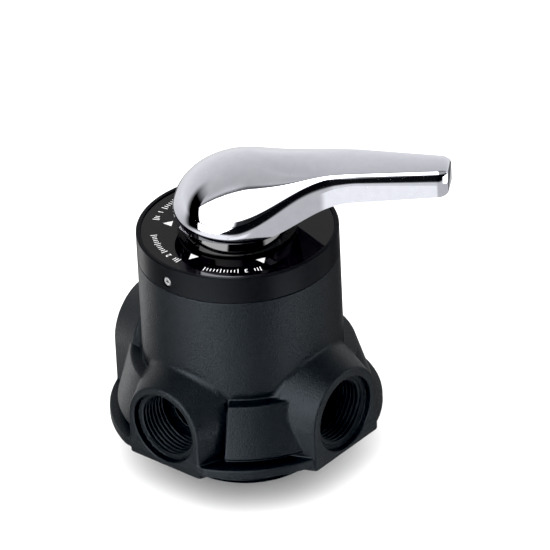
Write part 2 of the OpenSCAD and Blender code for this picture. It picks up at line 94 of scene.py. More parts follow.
def grain(material, shader, size, colours, roughness, bump):
    """Speckle of the given size in mm that drives colour, roughness and a fine bump.

    The bump is its strength and its height in mm."""
    nodes, links = material.node_tree.nodes, material.node_tree.links
    where = nodes.new("ShaderNodeTexCoord")
    noise = nodes.new("ShaderNodeTexNoise")
    noise.inputs["Scale"].default_value = 1 / (size * MM)
    noise.inputs["Detail"].default_value = 3.0
    links.new(where.outputs["Object"], noise.inputs["Vector"])
    ramp = nodes.new("ShaderNodeValToRGB")
    ramp.color_ramp.elements[0].position = 0.32
    ramp.color_ramp.elements[1].position = 0.68
    ramp.color_ramp.elements[0].color = (*colours[0], 1)
    ramp.color_ramp.elements[1].color = (*colours[1], 1)
    links.new(noise.outputs["Fac"], ramp.inputs["Fac"])
    links.new(ramp.outputs["Color"], shader.inputs["Base Color"])
    spread = nodes.new("ShaderNodeMapRange")
    spread.inputs["From Min"].default_value = 0.3
    spread.inputs["From Max"].default_value = 0.7
    spread.inputs["To Min"].default_value = roughness[0]
    spread.inputs["To Max"].default_value = roughness[1]
    links.new(noise.outputs["Fac"], spread.inputs["Value"])
    links.new(spread.outputs["Result"], shader.inputs["Roughness"])
    if bump:
        relief = nodes.new("ShaderNodeBump")
        relief.inputs["Strength"].default_value = bump[0]
        relief.inputs["Distance"].default_value = bump[1] * MM
        links.new(noise.outputs["Fac"], relief.inputs["Height"])
        links.new(relief.outputs["Normal"], shader.inputs["Normal"])


def plastic(name, size, colours, roughness, bump, specular, tint=(1, 1, 1)):
    material, shader = new_material(name)
    grain(material, shader, size, colours, roughness, bump)
    shader.inputs["Specular IOR Level"].default_value = specular
    shader.inputs["Specular Tint"].default_value = (*tint, 1)
    return material


def metal(name, size, colours, roughness, bump=None):
    material, shader = new_material(name)
    grain(material, shader, size, colours, roughness, bump)
    shader.inputs["Metallic"].default_value = 1.0
    return material


COOL = (0.78, 0.90, 1.0)  # tint of the moulded plastics' sheen
body_plastic = plastic("moulded_black", 0.75, ((0.001, 0.0013, 0.0017), (0.003, 0.004, 0.005)),
                       (0.30, 0.44), (1.0, 0.24), 0.20, COOL)
ring_plastic = plastic("satin_black", 2.5, ((0.003, 0.003, 0.003), (0.004, 0.004, 0.005)),
                       (0.28, 0.34), None, 0.055, COOL)
dial_black = plastic("gloss_dial", 3.0, ((0.002, 0.002, 0.002), (0.003, 0.002, 0.003)),
                     (0.03, 0.05), None, 0.18)
hub_black = plastic("gloss_hub", 3.0, ((0.002, 0.002, 0.002), (0.003, 0.003, 0.003)),
                    (0.03, 0.06), None, 0.6)
chrome = metal("chrome", 4.0, ((0.78, 0.79, 0.86), (0.82, 0.83, 0.90)), (0.035, 0.06))
steel = metal("turned_steel", 0.4, ((0.50, 0.50, 0.51), (0.64, 0.64, 0.65)), (0.22, 0.36), (0.2, 0.02))
# near black steel for the ring insert: its dark colour is painted shade, standing in for the shade
# inside the set screw's hole
hole_shade_steel = metal("steel_painted_hole_shade", 0.4, ((0.012, 0.012, 0.013), (0.02, 0.02, 0.021)), (0.35, 0.45))
brass = metal("brass", 0.4, ((0.62, 0.42, 0.17), (0.76, 0.55, 0.25)), (0.25, 0.40), (0.2, 0.02))
rubber = plastic("seal_rubber", 0.6, ((0.006, 0.006, 0.006), (0.014, 0.014, 0.014)),
                 (0.60, 0.78), (0.4, 0.05), 0.3)
white_plastic = plastic("white_acetal", 1.2, ((0.70, 0.70, 0.67), (0.78, 0.78, 0.75)),
                        (0.35, 0.48), (0.2, 0.03), 0.5)
ceramic = plastic("lapped_ceramic", 0.9, ((0.74, 0.73, 0.69), (0.82, 0.81, 0.77)),
                  (0.12, 0.22), (0.1, 0.01), 0.5)
print_white = plastic("printed_white", 0.3, ((0.72, 0.72, 0.72), (0.88, 0.88, 0.88)),
                      (0.35, 0.50), None, 0.4)


# ---- mesh helpers ----

def add_object(name, data):
    obj = bpy.data.objects.new(name, data)
    bpy.context.scene.collection.objects.link(obj)
    return obj


def to_mesh(name, shape):
    """Mesh from a finished bmesh, which is freed."""
    mesh = bpy.data.meshes.new(name)
    shape.to_mesh(mesh)
    shape.free()
    return mesh


def make_piece(name, verts, faces, material, body, replaces=()):
    """A smooth-shaded piece from points in mm, riding on a CAD body."""
    mesh = bpy.data.meshes.new(name)
    mesh.from_pydata((np.asarray(verts, float) * MM).tolist(), [], [list(map(int, f)) for f in faces])
    mesh.shade_smooth()
    obj = add_object(name, mesh)
    finish_piece(obj, material, body, replaces)
    return obj


def finish_piece(obj, material, body, replaces=()):
    obj.data.materials.clear()
    obj.data.materials.append(material)
    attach(obj, body)
    if replaces:
        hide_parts(*replaces)


def weighted_normals(obj):
    """Keeps wide flat faces flat beside small fillets."""
    modifier = obj.modifiers.new("normals", "WEIGHTED_NORMAL")
    modifier.keep_sharp = True


def grid_faces(rows, columns, close_rows, close_columns):
    """Quads of a grid of points numbered row by row."""
    last_row = rows if close_rows else rows - 1
    last_column = columns if close_columns else columns - 1
    return [(r * columns + c, r * columns + (c + 1) % columns,
             (r + 1) % rows * columns + (c + 1) % columns, (r + 1) % rows * columns + c)
            for r in range(last_row) for c in range(last_column)]


def rounded(corners):
    """Closed outline of (radius, height) points with each corner filleted by its own size."""
    steps = 6
    outline = []
    for i, (x, z, size) in enumerate(corners):
        here = np.array((x, z), float)
        if not size:
            outline.append(here)
            continue
        before = np.array(corners[i - 1][:2], float) - here
        after = np.array(corners[(i + 1) % len(corners)][:2], float) - here
        before, after = before / np.linalg.norm(before), after / np.linalg.norm(after)
        half = math.acos(np.clip(before @ after, -1, 1)) / 2
        centre = here + (before + after) / np.linalg.norm(before + after) * size / math.sin(half)
        start = here + before * size / math.tan(half) - centre
        end = here + after * size / math.tan(half) - centre
        turn = math.atan2(start[0] * end[1] - start[1] * end[0], start @ end)
        for t in np.linspace(0, turn, steps + 1):
            c, s = math.cos(t), math.sin(t)
            outline.append(centre + (c * start[0] - s * start[1], s * start[0] + c * start[1]))
    return outline


def lathe(name, corners, material, body, replaces):
    """Piece turned about the valve's axis from (radius, height, fillet) corners."""
    segments = 224
    outline = rounded(corners)
    angles = np.linspace(0, 2 * math.pi, segments, endpoint=False)
    verts = [(r * math.cos(a), r * math.sin(a), z) for r, z in outline for a in angles]
    faces = grid_faces(len(outline), segments, True, True)
    obj = make_piece(name, verts, faces, material, body, replaces)
    outward(obj)
    weighted_normals(obj)
    return obj


def outward(obj):
    mesh = bmesh.new()
    mesh.from_mesh(obj.data)
    bmesh.ops.recalc_face_normals(mesh, faces=mesh.faces)
    mesh.to_mesh(obj.data)
    mesh.free()


def cut_hole(obj, angle, z, radius, start, end):
    """Drills a round hole along the plan angle, from one radius to another."""
    tool = bmesh.new()
    place = (Matrix.Rotation(math.radians(angle), 4, "Z")
             @ Matrix.Translation(Vector(((start + end) / 2, 0, z)) * MM)
             @ Matrix.Rotation(math.pi / 2, 4, "Y"))
    bmesh.ops.create_cone(tool, segments=48, radius1=radius * MM, radius2=radius * MM,
                          depth=(end - start) * MM, cap_ends=True, matrix=place)
    cutter = add_object("cutter", to_mesh("cutter", tool))
    modifier = obj.modifiers.new("hole", "BOOLEAN")
    modifier.object = cutter
    modifier.solver = "EXACT"
    while obj.modifiers[0] != modifier:
        bpy.context.view_layer.objects.active = obj
        bpy.ops.object.modifier_move_up(modifier=modifier.name)
    bpy.context.view_layer.objects.active = obj
    bpy.ops.object.modifier_apply(modifier=modifier.name)
    bpy.data.objects.remove(cutter)


# ---- valve body: a smooth solid field, meshed on a fine grid ----

def smooth_min(a, b, k):
    """Union of two fields with a fillet about as wide as k mm."""
    h = np.clip(0.5 + 0.5 * (b - a) / k, 0, 1)
    return b + (a - b) * h - k * h * (1 - h)


def smooth_max(a, b, k):
    return -smooth_min(-a, -b, k)


def round_disc(r, z, radius, low, high, edge):
    """Disc about the axis with rounded edges."""
    across = r - radius + edge
    along = np.maximum(low + edge - z, z - high + edge)
    outside = np.hypot(np.maximum(across, 0), np.maximum(along, 0))
    return outside + np.minimum(np.maximum(across, along), 0) - edge


def rod(across, along, radius, start, end):
    """Straight round rod or bore, from the distances across and along its axis."""
    return np.maximum(across - radius, np.maximum(start - along, along - end))


def turned(x, y, angle):
    """Coordinates along and across a plan direction."""
    c, s = math.cos(math.radians(angle)), math.sin(math.radians(angle))
    return x * c + y * s, y * c - x * s


def port_block(along, across, z, face, half_w, height):
    """Block with an arched top that widens towards the barrel."""
    width = half_w * (1 + (BLOCK_FLARE - 1) * np.clip((face - along) / (face - BLOCK_ROOT), 0, 1))
    side = (np.hypot(across, np.maximum(z - height, 0)) - width) * 0.9
    block = smooth_max(side, along - face, 1.1)
    block = smooth_max(block, BLOCK_Z - z, 1.1)
    return np.maximum(block, 20 - along)


def skirt(x, y, r, z, start, end):
    """Coned panel between two leaning sides, on a set-back plinth that stands on the flange."""
    slope = math.hypot(FOOT_R - LEDGE_R, LEDGE_Z - FOOT_Z)
    wall = ((r - FOOT_R) * (LEDGE_Z - FOOT_Z) + (z - FOOT_Z) * (FOOT_R - LEDGE_R)) / slope
    panel = smooth_max(wall, z - LEDGE_Z, 1.0)
    panel = smooth_max(panel, FOOT_Z - z, 0.8)
    panel = np.minimum(panel, np.maximum(r - FOOT_R + 4, np.maximum(z - FOOT_Z - 1, FLANGE_Z + 1 - z)))
    drop = np.maximum(LEDGE_Z - z, 0)
    first = turned(x, y, start[0] - 90)[0] - start[1] * drop
    second = turned(x, y, end[0] + 90)[0] - end[1] * drop
    return smooth_max(panel, np.maximum(first, second), 0.9)


def body_outside(x, y, z):
    """Barrel, port blocks, flange, skirts and neck."""
    r = np.hypot(x, y)
    barrel = round_disc(r, z, BARREL_R, FLANGE_Z, BARREL_TOP, 0.4)
    blocks = None
    flange = round_disc(r, z, FLANGE_R, FLANGE_Z, FLANGE_TOP, 0.8)
    for angle, face, half_w, _, height in PORTS:
        along, across = turned(x, y, angle)
        block = port_block(along, across, z, face, half_w, height)
        blocks = block if blocks is None else np.minimum(blocks, block)
        flange = smooth_max(flange, along - face, 0.6)
    solid = smooth_min(barrel, blocks, 2.0)
    for start, end in SKIRTS:
        solid = smooth_min(solid, skirt(x, y, r, z, start, end), 0.7)
    solid = smooth_min(solid, flange, 0.7)
    neck = round_disc(r, z, NECK_MINOR_R - 0.1, 0, FLANGE_Z - SEAL_LAND_H, 0.8)
    land = np.maximum(r - SEAL_LAND_R, np.maximum(4 - z, z - FLANGE_Z - 1))
    return np.minimum(solid, np.minimum(neck, land))


def body_inside(x, y, z):
    """Chamber, bores, wells and the three ports with their links."""
    r = np.hypot(x, y)
    holes = [
        rod(r, z, CHAMBER_R, CHAMBER_Z, BARREL_TOP + 2),
        rod(r, z, BONNET_R, BONNET_Z, BARREL_TOP + 2),
        rod(r, z, RISER_R, -2, RISER_TOP),
        rod(r, z, SEAL_R, -2, SEAL_TOP),
        rod(r, z, SHAFT_R, 0, SHAFT_TOP),
        np.maximum(np.maximum(r - DUCT_R, SLEEVE_R - r), np.maximum(-2 - z, z - DUCT_TOP)),
    ]
    for angle, distance, radius, low, high in WELLS:
        along, across = turned(x, y, angle)
        holes.append(rod(np.hypot(along - distance, across), z, radius, low, high))
    for angle, radius, height, start, end in LINKS:
        along, across = turned(x, y, angle)
        holes.append(rod(np.hypot(across, z - height), along, radius, start, end))
    space = holes[0]
    for hole in holes[1:]:
        space = np.minimum(space, hole)
    for (angle, face, _, recess_r, height), (_, well_distance, *_) in zip(PORTS, WELLS):
        along, across = turned(x, y, angle)
        reach = np.hypot(across, z - height)
        bottom = face - RECESS_DEPTH
        recess = smooth_min(rod(reach, along, recess_r, bottom, face + 3),
                            rod(reach, along, THREAD_MAJOR_R + 0.3, bottom - THREAD_LEN, face), 0.3)
        link = rod(reach, along, LINK_R, well_distance, face)
        space = np.minimum(space, np.minimum(recess, link))
    return space


def body_field(x, y, z):
    """Negative inside the moulded body, in mm."""
    return smooth_max(body_outside(x, y, z), -body_inside(x, y, z), 0.7)


def surface_nets(field, origin, step):
    """Quads that follow a field's zero surface, one point to each cell that it crosses."""
    inside = field < 0
    corners = [np.array(c) for c in itertools.product((0, 1), repeat=3)]
    size = np.array(field.shape) - 1
    count = sum(inside[c[0]:c[0] + size[0], c[1]:c[1] + size[1], c[2]:c[2] + size[2]].astype(np.int8)
                for c in corners)
    active = (count > 0) & (count < 8)
    cells = np.argwhere(active)
    index = np.full(active.shape, -1, np.int64)
    index[active] = np.arange(len(cells))
    total, crossings = np.zeros((len(cells), 3)), np.zeros(len(cells))
    for a, b in itertools.combinations(corners, 2):
        if np.abs(a - b).sum() != 1:
            continue
        low, high = field[tuple((cells + a).T)], field[tuple((cells + b).T)]
        hit = (low < 0) != (high < 0)
        share = low[hit] / (low[hit] - high[hit])
        total[hit] += a + share[:, None] * (b - a)
        crossings[hit] += 1
    verts = np.array(origin) + step * (cells + total / crossings[:, None])
    quads = []
    for axis in range(3):
        unit = np.eye(3, dtype=int)
        side, other = unit[(axis + 1) % 3], unit[(axis + 2) % 3]
        near = np.take(inside, range(size[axis]), axis)
        far = np.take(inside, range(1, size[axis] + 1), axis)
        edges = np.argwhere(near != far)
        edges = edges[(edges * (side + other) > 0).sum(1) == 2]
        edges = edges[((edges < size) | (unit[axis] == 1)).all(1)]
        ring = np.stack([index[tuple((edges - d).T)] for d in (0 * side, side, side + other, other)], 1)
        flip = ~near[tuple(edges.T)]
        ring[flip] = ring[flip][:, ::-1]
        quads.append(ring)
    return verts, np.concatenate(quads)


def settle(verts):
    """Moves points onto the body's true surface and returns them with its normals."""
    rounds, small = 3, 0.02
    for turn in range(rounds + 1):
        here = body_field(*verts.T)
        slope = np.stack([body_field(*(verts + small * axis).T) - body_field(*(verts - small * axis).T)
                          for axis in np.eye(3)], 1) / (2 * small)
        length = np.maximum((slope ** 2).sum(1), 0.05)
        if turn < rounds:
            verts = verts - np.clip(here / length, -0.5, 0.5)[:, None] * slope * 0.8
    return verts, slope / np.sqrt(length)[:, None]


def make_body():
    step = 0.65
    low = np.array((-PORT_FACE - 4.5, -FLANGE_R - 1.5, -1.5))
    high = np.array((PORT_FACE + 4.5, FLANGE_R + 1.5, BARREL_TOP + 1.5))
    counts = np.ceil((high - low) / step).astype(int) + 1
    x, y, z = (low[i] + step * np.arange(counts[i]) for i in range(3))
    field = body_field(x[:, None, None], y[None, :, None], z[None, None, :])
    verts, quads = surface_nets(field, low, step)
    verts, normals = settle(verts)
    obj = make_piece("moulded_body", verts, quads, body_plastic, "housing",
                     ["valve_body", "tank_neck_tube", "riser_sleeve"])
    obj.data.normals_split_custom_set_from_vertices(normals.tolist())


# ---- threads ----

def thread_ring(name, inner, outer, wall, pitch, length, place):
    """Helical thread between two radii, closed by a plain wall at a third radius."""
    rows = int(length / pitch * 14) + 1
    columns = 128
    angles = np.linspace(0, 2 * math.pi, columns, endpoint=False)
    verts = [(wall * math.cos(a), wall * math.sin(a), 0) for a in angles]
    for s in np.linspace(0, length, rows):
        phase = (s / pitch - angles / (2 * math.pi)) % 1
        height = np.clip((np.abs(2 * phase - 1) - 0.15) / 0.7, 0, 1)
        radius = inner + (outer - inner) * height * height * (3 - 2 * height)
        verts += list(zip(radius * np.cos(angles), radius * np.sin(angles), np.full(columns, s)))
    verts += [(wall * math.cos(a), wall * math.sin(a), length) for a in angles]
    points = np.array([place @ Vector(v) for v in verts])
    obj = make_piece(name, points, grid_faces(rows + 2, columns, True, True), body_plastic,
                     "housing")
    outward(obj)
    obj.data.set_sharp_from_angle(angle=math.radians(50))


def port_thread(name, angle, face, height):
    place = (Matrix.Rotation(math.radians(angle), 4, "Z")
             @ Matrix.Translation((face - RECESS_DEPTH, 0, height))
             @ Matrix.Rotation(-math.pi / 2, 4, "Y"))
    thread_ring(name, THREAD_MINOR_R, THREAD_MAJOR_R, THREAD_MAJOR_R + 0.25, THREAD_PITCH,
                THREAD_LEN - 0.1, place)


# ---- dial, ring and hub ----

def make_ring():
    dial_z = DIAL_TOP - DIAL_THICK
    foot_z, inside_r = BARREL_TOP + 0.05, 44.3
    ring = lathe("cap_ring_skin", [
        (inside_r, foot_z, 0), (BARREL_R, foot_z, 0.45), (BARREL_R, RIM_Z, 0.7),
        (BARREL_R - RING_WALL, RIM_Z, 0.3), (BARREL_R - RING_WALL, dial_z, 0), (DIAL_HOLE_R, dial_z, 0),
        (DIAL_HOLE_R, RIM_Z - RING_FLOOR, 0.3), (inside_r, RIM_Z - RING_FLOOR, 0)],
        ring_plastic, "housing", ["cap_ring"])
    cut_hole(ring, SCREW_ANGLE, SCREW_Z, SCREW_HOLE_R, 43, 50)
    lathe("dial_face", [(DIAL_HOLE_R, dial_z, 0), (DIAL_R, dial_z, 0), (DIAL_R, DIAL_TOP, 0.15),
                        (DIAL_HOLE_R, DIAL_TOP, 0.15)],
          dial_black, "housing", ["dial_plate"])


def make_hub():
    low, top, boss_top = RIM_Z - 0.2, HEAD_Z - 0.1, HEAD_Z + HUB_BOSS_H
    washer_r, washer_z, stem_top = 6, boss_top - 2.4, 132.1
    lathe("hub_skin", [
        (STEM_R, low, 0.1), (HUB_R, low, 0.3), (HUB_R, low + HUB_FOOT, 0.4),
        (HUB_R - HUB_TAPER, top, 0.4), (HUB_BOSS_R, top, 0.1), (HUB_BOSS_R, boss_top, 0.4),
        (washer_r, boss_top, 0.2), (washer_r, washer_z, 0.1), (SCREW_R, washer_z, 0.1),
        (SCREW_R, stem_top, 0.1), (STEM_R, stem_top, 0.1)],
        hub_black, "rotor", ["lever_hub"])


# Printed marks: height of their underside over the dial and thickness, then their places and sizes
MARK_LIFT, INK = 0.02, 0.03
POINTER_IN, POINTER_OUT, POINTER_SIDE = 31.2, 35.6, 2.35
LABEL_R, BAR_WIDTH, TICK_WIDTH, DIGIT_SIZE = 39.6, 0.42, 0.4, 4.05


def flat_mark(name, loops, angle):
    """Printed shape: outlines in (inward-outward, sideways) mm at a plan angle, a hair thick."""
    turn = Matrix.Rotation(math.radians(angle), 4, "Z")
    shape = bmesh.new()
    for loop in loops:
        points = [shape.verts.new(turn @ Vector((x, y, DIAL_TOP + MARK_LIFT))) for x, y in loop]
        face = shape.faces.new(points)
        made = bmesh.ops.extrude_face_region(shape, geom=[face])
        for v in made["geom"]:
            if isinstance(v, bmesh.types.BMVert):
                v.co.z += INK
    bmesh.ops.recalc_face_normals(shape, faces=shape.faces)
    bmesh.ops.scale(shape, vec=(MM, MM, MM), verts=shape.verts)
    finish_piece(add_object(name, to_mesh(name, shape)), print_white, "housing")


def label_bar(angle, height, width):
    """Small bar on the labels' arc, as four corners in plan."""
    a = math.radians(angle)
    out, side = Vector((math.cos(a), math.sin(a))), Vector((-math.sin(a), math.cos(a)))
    centre = out * LABEL_R
    return [tuple(centre + out * h * height / 2 + side * w * width / 2)
            for h, w in ((-1, -1), (1, -1), (1, 1), (-1, 1))]


def digit(name, text, angle):
    half_thick = 0.02
    curve = bpy.data.curves.new(name, "FONT")
    curve.body = text
    curve.size = DIGIT_SIZE * MM
    curve.extrude = half_thick * MM
    curve.align_x = "CENTER"
    curve.align_y = "CENTER"
    flat = add_object(name + "_outline", curve)
    bpy.context.view_layer.update()
    mesh = bpy.data.meshes.new_from_object(flat.evaluated_get(bpy.context.evaluated_depsgraph_get()))
    bpy.data.objects.remove(flat)
    turn = Matrix.Rotation(math.radians(angle - 90), 4, "Z")
    centre = Vector((0, LABEL_R, DIAL_TOP + MARK_LIFT + half_thick))
    mesh.transform(turn @ Matrix.Translation(centre * MM))
    finish_piece(add_object(name, mesh), print_white, "housing")


def make_marks():
    """At each position a pointer, and clockwise from it three bars, a digit and a row of ticks."""
    triangle = [(POINTER_IN, -POINTER_SIDE), (POINTER_OUT, 0), (POINTER_IN, POINTER_SIDE)]
    for number, angle in enumerate((-150, -90, -30), 1):
        flat_mark(f"pointer_{number}", [triangle], angle)
        bars = [label_bar(-4.5 - 2.0 * i, 3.4 - 0.6 * i, BAR_WIDTH) for i in range(3)]
        flat_mark(f"flow_icon_{number}", bars, angle)
        digit(f"digit_{number}", str(number), angle - 14.5)
        ticks = [label_bar(-20 - 2.35 * i, 2.2 if i % 5 else 3.2, TICK_WIDTH) for i in range(11)]
        flat_mark(f"scale_{number}", ticks, angle)


# ---- lever: x runs from the head's centre to the tip, heights are from the ring's rim ----

HEAD_R, LEVER_LEN, TIP_ROUND = 30, 102, 5
NECK_X0, NECK_X1, ARM_W0, ARM_W1 = 8.4, 49.7, 13.7, 8.4
CROWN_X, CROWN_H, RIM_H = 10.8, 39, 10.4
# Shoulder of the arm's section: a slow curve up to the first tilt, then a tight one to the second
SLOW_R, SLOW_TILT, TIGHT_R, TIGHT_TILT = 12.7, math.radians(18), 2, math.radians(77)


def ease(t):
    """Smooth step from 0 to 1."""
    s = min(1.0, max(0.0, t))
    return s * s * (3 - 2 * s)


def cubic(x, x0, y0, m0, x1, y1, m1):
    """Curve between two points with a slope given at each."""
    w = x1 - x0
    t = (x - x0) / w
    return ((2 * t**3 - 3 * t**2 + 1) * y0 + (t**3 - 2 * t**2 + t) * w * m0
            + (3 * t**2 - 2 * t**3) * y1 + (t**3 - t**2) * w * m1)


def tip_pull(x):
    """How far the tip's rounding has gone, from 0 to 1."""
    d = max(0.0, x - (LEVER_LEN - TIP_ROUND)) / TIP_ROUND
    return 1 - math.sqrt(max(0.0, 1 - d * d))


def lever_width(x):
    """Half width: round head, waist and tapering arm."""
    if x < NECK_X0:
        return math.sqrt(max(0.0, HEAD_R**2 - x * x))
    if x < NECK_X1:
        w0 = math.sqrt(HEAD_R**2 - NECK_X0**2)
        return cubic(x, NECK_X0, w0, -NECK_X0 / w0, NECK_X1, ARM_W0, -0.09)
    return ARM_W0 + (ARM_W1 - ARM_W0) * (x - NECK_X1) / (LEVER_LEN - NECK_X1) - 3 * tip_pull(x)


def lever_low(x):
    """Height of the underside."""
    return HEAD_Z - RIM_Z + 15.4 * ease((x - 12) / 46) + 3.2 * max(0, x - 56) / 46 + 1.5 * tip_pull(x)


def lever_side(x):
    """Height where the upright side wall ends and the top's curve begins."""
    return RIM_H + 22.2 * ease(x / 61) - 0.8 * tip_pull(x)


def lever_crown(x):
    """Height of the top along the middle."""
    if x < CROWN_X:
        along = (x - CROWN_X) / (HEAD_R + CROWN_X)
        return RIM_H + (CROWN_H - RIM_H) * math.sqrt(max(0.0, 1 - along**2))
    return CROWN_H + 2 * (x - CROWN_X) / (LEVER_LEN - CROWN_X) - 2.5 * tip_pull(x)


def shoulder(tilt, width):
    """Inward and upward travel along the arm's boxy section until the face has this tilt."""
    slow, tight, top = min(tilt, SLOW_TILT), min(max(tilt, SLOW_TILT), TIGHT_TILT), max(tilt, TIGHT_TILT)
    corner = SLOW_R * (1 - math.cos(SLOW_TILT)) + TIGHT_R * (math.cos(SLOW_TILT) - math.cos(TIGHT_TILT))
    top_r = (width - corner) / math.cos(TIGHT_TILT)
    inward = (SLOW_R * (1 - math.cos(slow)) + TIGHT_R * (math.cos(SLOW_TILT) - math.cos(tight))
              + top_r * (math.cos(TIGHT_TILT) - math.cos(top)))
    upward = (SLOW_R * math.sin(slow) + TIGHT_R * (math.sin(tight) - math.sin(SLOW_TILT))
              + top_r * (math.sin(top) - math.sin(TIGHT_TILT)))
    return inward, upward


def lever_half(x, steps):
    """Half section from the side wall to the crown: domed at the head, boxy on the arm."""
    width, side = lever_width(x), lever_side(x)
    rise = lever_crown(x) - side
    boxy = ease((x - 6.5) / 45)
    full = shoulder(math.pi / 2, width)[1] if boxy else 1
    half = []
    for i in range(steps + 1):
        tilt = math.pi / 2 * i / steps
        around = math.atan2(rise * math.sin(tilt), width * math.cos(tilt))
        y, z = width * math.cos(around), rise * math.sin(around)
        if boxy:
            inward, upward = shoulder(tilt, width)
            y += boxy * (width - inward - y)
            z += boxy * (rise * upward / full - z)
        half.append((y, side + z))
    return half


def make_lever():
    crown_steps, wall_steps = 40, 6
    stations = [-HEAD_R * math.cos(math.pi / 2 * i / 60 * 0.9995) for i in range(1, 60)]
    stations += list(np.arange(0.5, LEVER_LEN - TIP_ROUND, 0.75))
    stations += [LEVER_LEN - TIP_ROUND + TIP_ROUND * math.sin(math.radians(t)) for t in range(0, 86, 5)]
    verts, section = [], 0
    for x in stations:
        w, low, side = lever_width(x), lever_low(x), lever_side(x)
        half = lever_half(x, crown_steps)
        ring = [(x, w * (1 - 2 * i / 8), low) for i in range(9)]
        ring += [(x, -w, low + (side - low) * i / wall_steps) for i in range(1, wall_steps)]
        ring += [(x, -y, z) for y, z in half[:-1]] + [(x, y, z) for y, z in reversed(half)]
        ring += [(x, w, side + (low - side) * i / wall_steps) for i in range(1, wall_steps)]
        section = len(ring)
        verts += ring
    faces = grid_faces(len(stations), section, False, True)
    faces.append(tuple(range(section)))
    faces.append(tuple(range(len(verts) - section, len(verts))))
    turn = Matrix.Translation((0, 0, RIM_Z)) @ Matrix.Rotation(math.radians(LEVER_ANGLE), 4, "Z")
    points = np.array([turn @ Vector(v) for v in verts])
    obj = make_piece("chrome_lever", points, faces, chrome, "rotor", ["lever"])
    outward(obj)
    obj.data.set_sharp_from_angle(angle=math.radians(38))


# ---- the rest of the CAD nodes keep their shapes ----

def dress_nodes():
    looks = {
        "tank_o_ring": rubber, "riser_o_ring": rubber, "riser_seal_retainer": white_plastic,
        "disc_gasket": rubber, "fixed_disc": ceramic, "locating_pins": steel, "moving_disc": ceramic,
        "moving_disc_gasket": rubber, "drive_pins": steel, "moving_seat": body_plastic,
        "stem_insert": brass, "thrust_washer": white_plastic, "stem_o_rings": rubber,
        # the ring insert's near black steel is painted shade of the set screw's hole
        "bonnet": body_plastic, "bonnet_o_ring": rubber, "ring_insert": hole_shade_steel,
        "ring_set_screw": steel, "hub_screw": steel, "hub_screw_washer": steel,
        "lever_grub_screw": steel,
    }
    for name, material in looks.items():
        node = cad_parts[name]
        node.data.materials.clear()
        node.data.materials.append(material)


# ---- studio ----

CAMERA_AZIMUTH, CAMERA_ELEVATION, CAMERA_ROLL = -49.25, 31.69, -2.75
CAMERA_AIM = Vector((3.3, 21.6, 85.0)) * MM
CAMERA_DISTANCE, LENS = 3.0, 412.8


def direction(azimuth, elevation):
    a, e = math.radians(azimuth), math.radians(elevation)
    return Vector((math.cos(a) * math.cos(e), math.sin(a) * math.cos(e), math.sin(e)))


def make_camera():
    back = direction(CAMERA_AZIMUTH, CAMERA_ELEVATION)
    right = Vector((0, 0, 1)).cross(back).normalized()
    up = back.cross(right)
    c, s = math.cos(math.radians(CAMERA_ROLL)), math.sin(math.radians(CAMERA_ROLL))
    axes = Matrix((c * right + s * up, c * up - s * right, back)).transposed().to_4x4()
    camera = add_object("camera", bpy.data.cameras.new("camera"))
    camera.data.lens = LENS
    camera.data.sensor_width = 36
    camera.data.clip_end = 50
    camera.matrix_world = Matrix.Translation(CAMERA_AIM + back * CAMERA_DISTANCE) @ axes
    bpy.context.scene.camera = camera


def softbox(name, azimuth, elevation, distance, width, height, strength):
    """Area light that faces the valve, at an azimuth in degrees right of the camera."""
    light = bpy.data.lights.new(name, "AREA")
    light.shape = "RECTANGLE"
    light.size, light.size_y = width, height
    light.energy = strength * width * height * math.pi
    obj = add_object(name, light)
    aim = Vector((0, 0, 0.10))
    out = direction(CAMERA_AZIMUTH + azimuth, elevation)
    obj.location = aim + out * distance
    obj.rotation_mode = "QUATERNION"
    obj.rotation_quaternion = out.to_track_quat("Z", "Y")
    obj.visible_camera = obj.visible_glossy = False


# What shiny faces see, by the angle from the horizon in front, up over the top and down behind
REFLECTED = ((-180, 0.85), (-150, 0.7), (-120, 0.5), (-60, 0.7), (-22, 0.75), (-19, 0.01),
             (-4, 0.01), (-1, 4.5), (66, 4.5), (68, 0.08), (71, 0.08), (76, 0.48), (100, 0.52),
             (148, 0.70), (175, 0.85))
# Cards near the valve: left and right end in degrees right of the camera, low and high edge in mm,
# glow, widths of the soft left and right ends in degrees, and degrees by which the low edge is shorter
CARD_DISTANCE = 0.3
CARDS = {
    "left_card": (-69, -9, 45, 113, 8.0, 3, 4, 22),
    "left_low_card": (-90, 24, -98, -50, 14.0, 60, 60, 0),
    "left_floor_dark": (-200, 10, -300, -104, 0.2, 10, 24, 0),
    "left_limb_card": (-146, -118, -101, -20, 2.2, 8, 12, 0),
    "left_back_dark": (-200, -150, -101, 40, 0.15, 10, 6, 0),
    "arm_card": (-20, 17, -28, 2, 1.03, 6, 7, 0),
    "right_card": (44, 104, 50, 112, 5.0, 8, 30, 0),
    "right_low_card": (26, 84, -101, -50, 11.0, 18, 44, 0),
}


def glowing(name, build):
    """Stage mesh that only reflections see."""
    shape = bmesh.new()
    build(shape)
    obj = add_object(name, to_mesh(name, shape))
    obj.visible_camera = obj.visible_diffuse = obj.visible_shadow = False
    material = bpy.data.materials.new(name)
    material.use_nodes = True
    material.cycles.emission_sampling = "NONE"
    obj.data.materials.append(material)
    nodes, links = material.node_tree.nodes, material.node_tree.links
    nodes.clear()
    glow = nodes.new("ShaderNodeEmission")
    links.new(glow.outputs["Emission"], nodes.new("ShaderNodeOutputMaterial").inputs["Surface"])
    return obj, nodes, links, glow


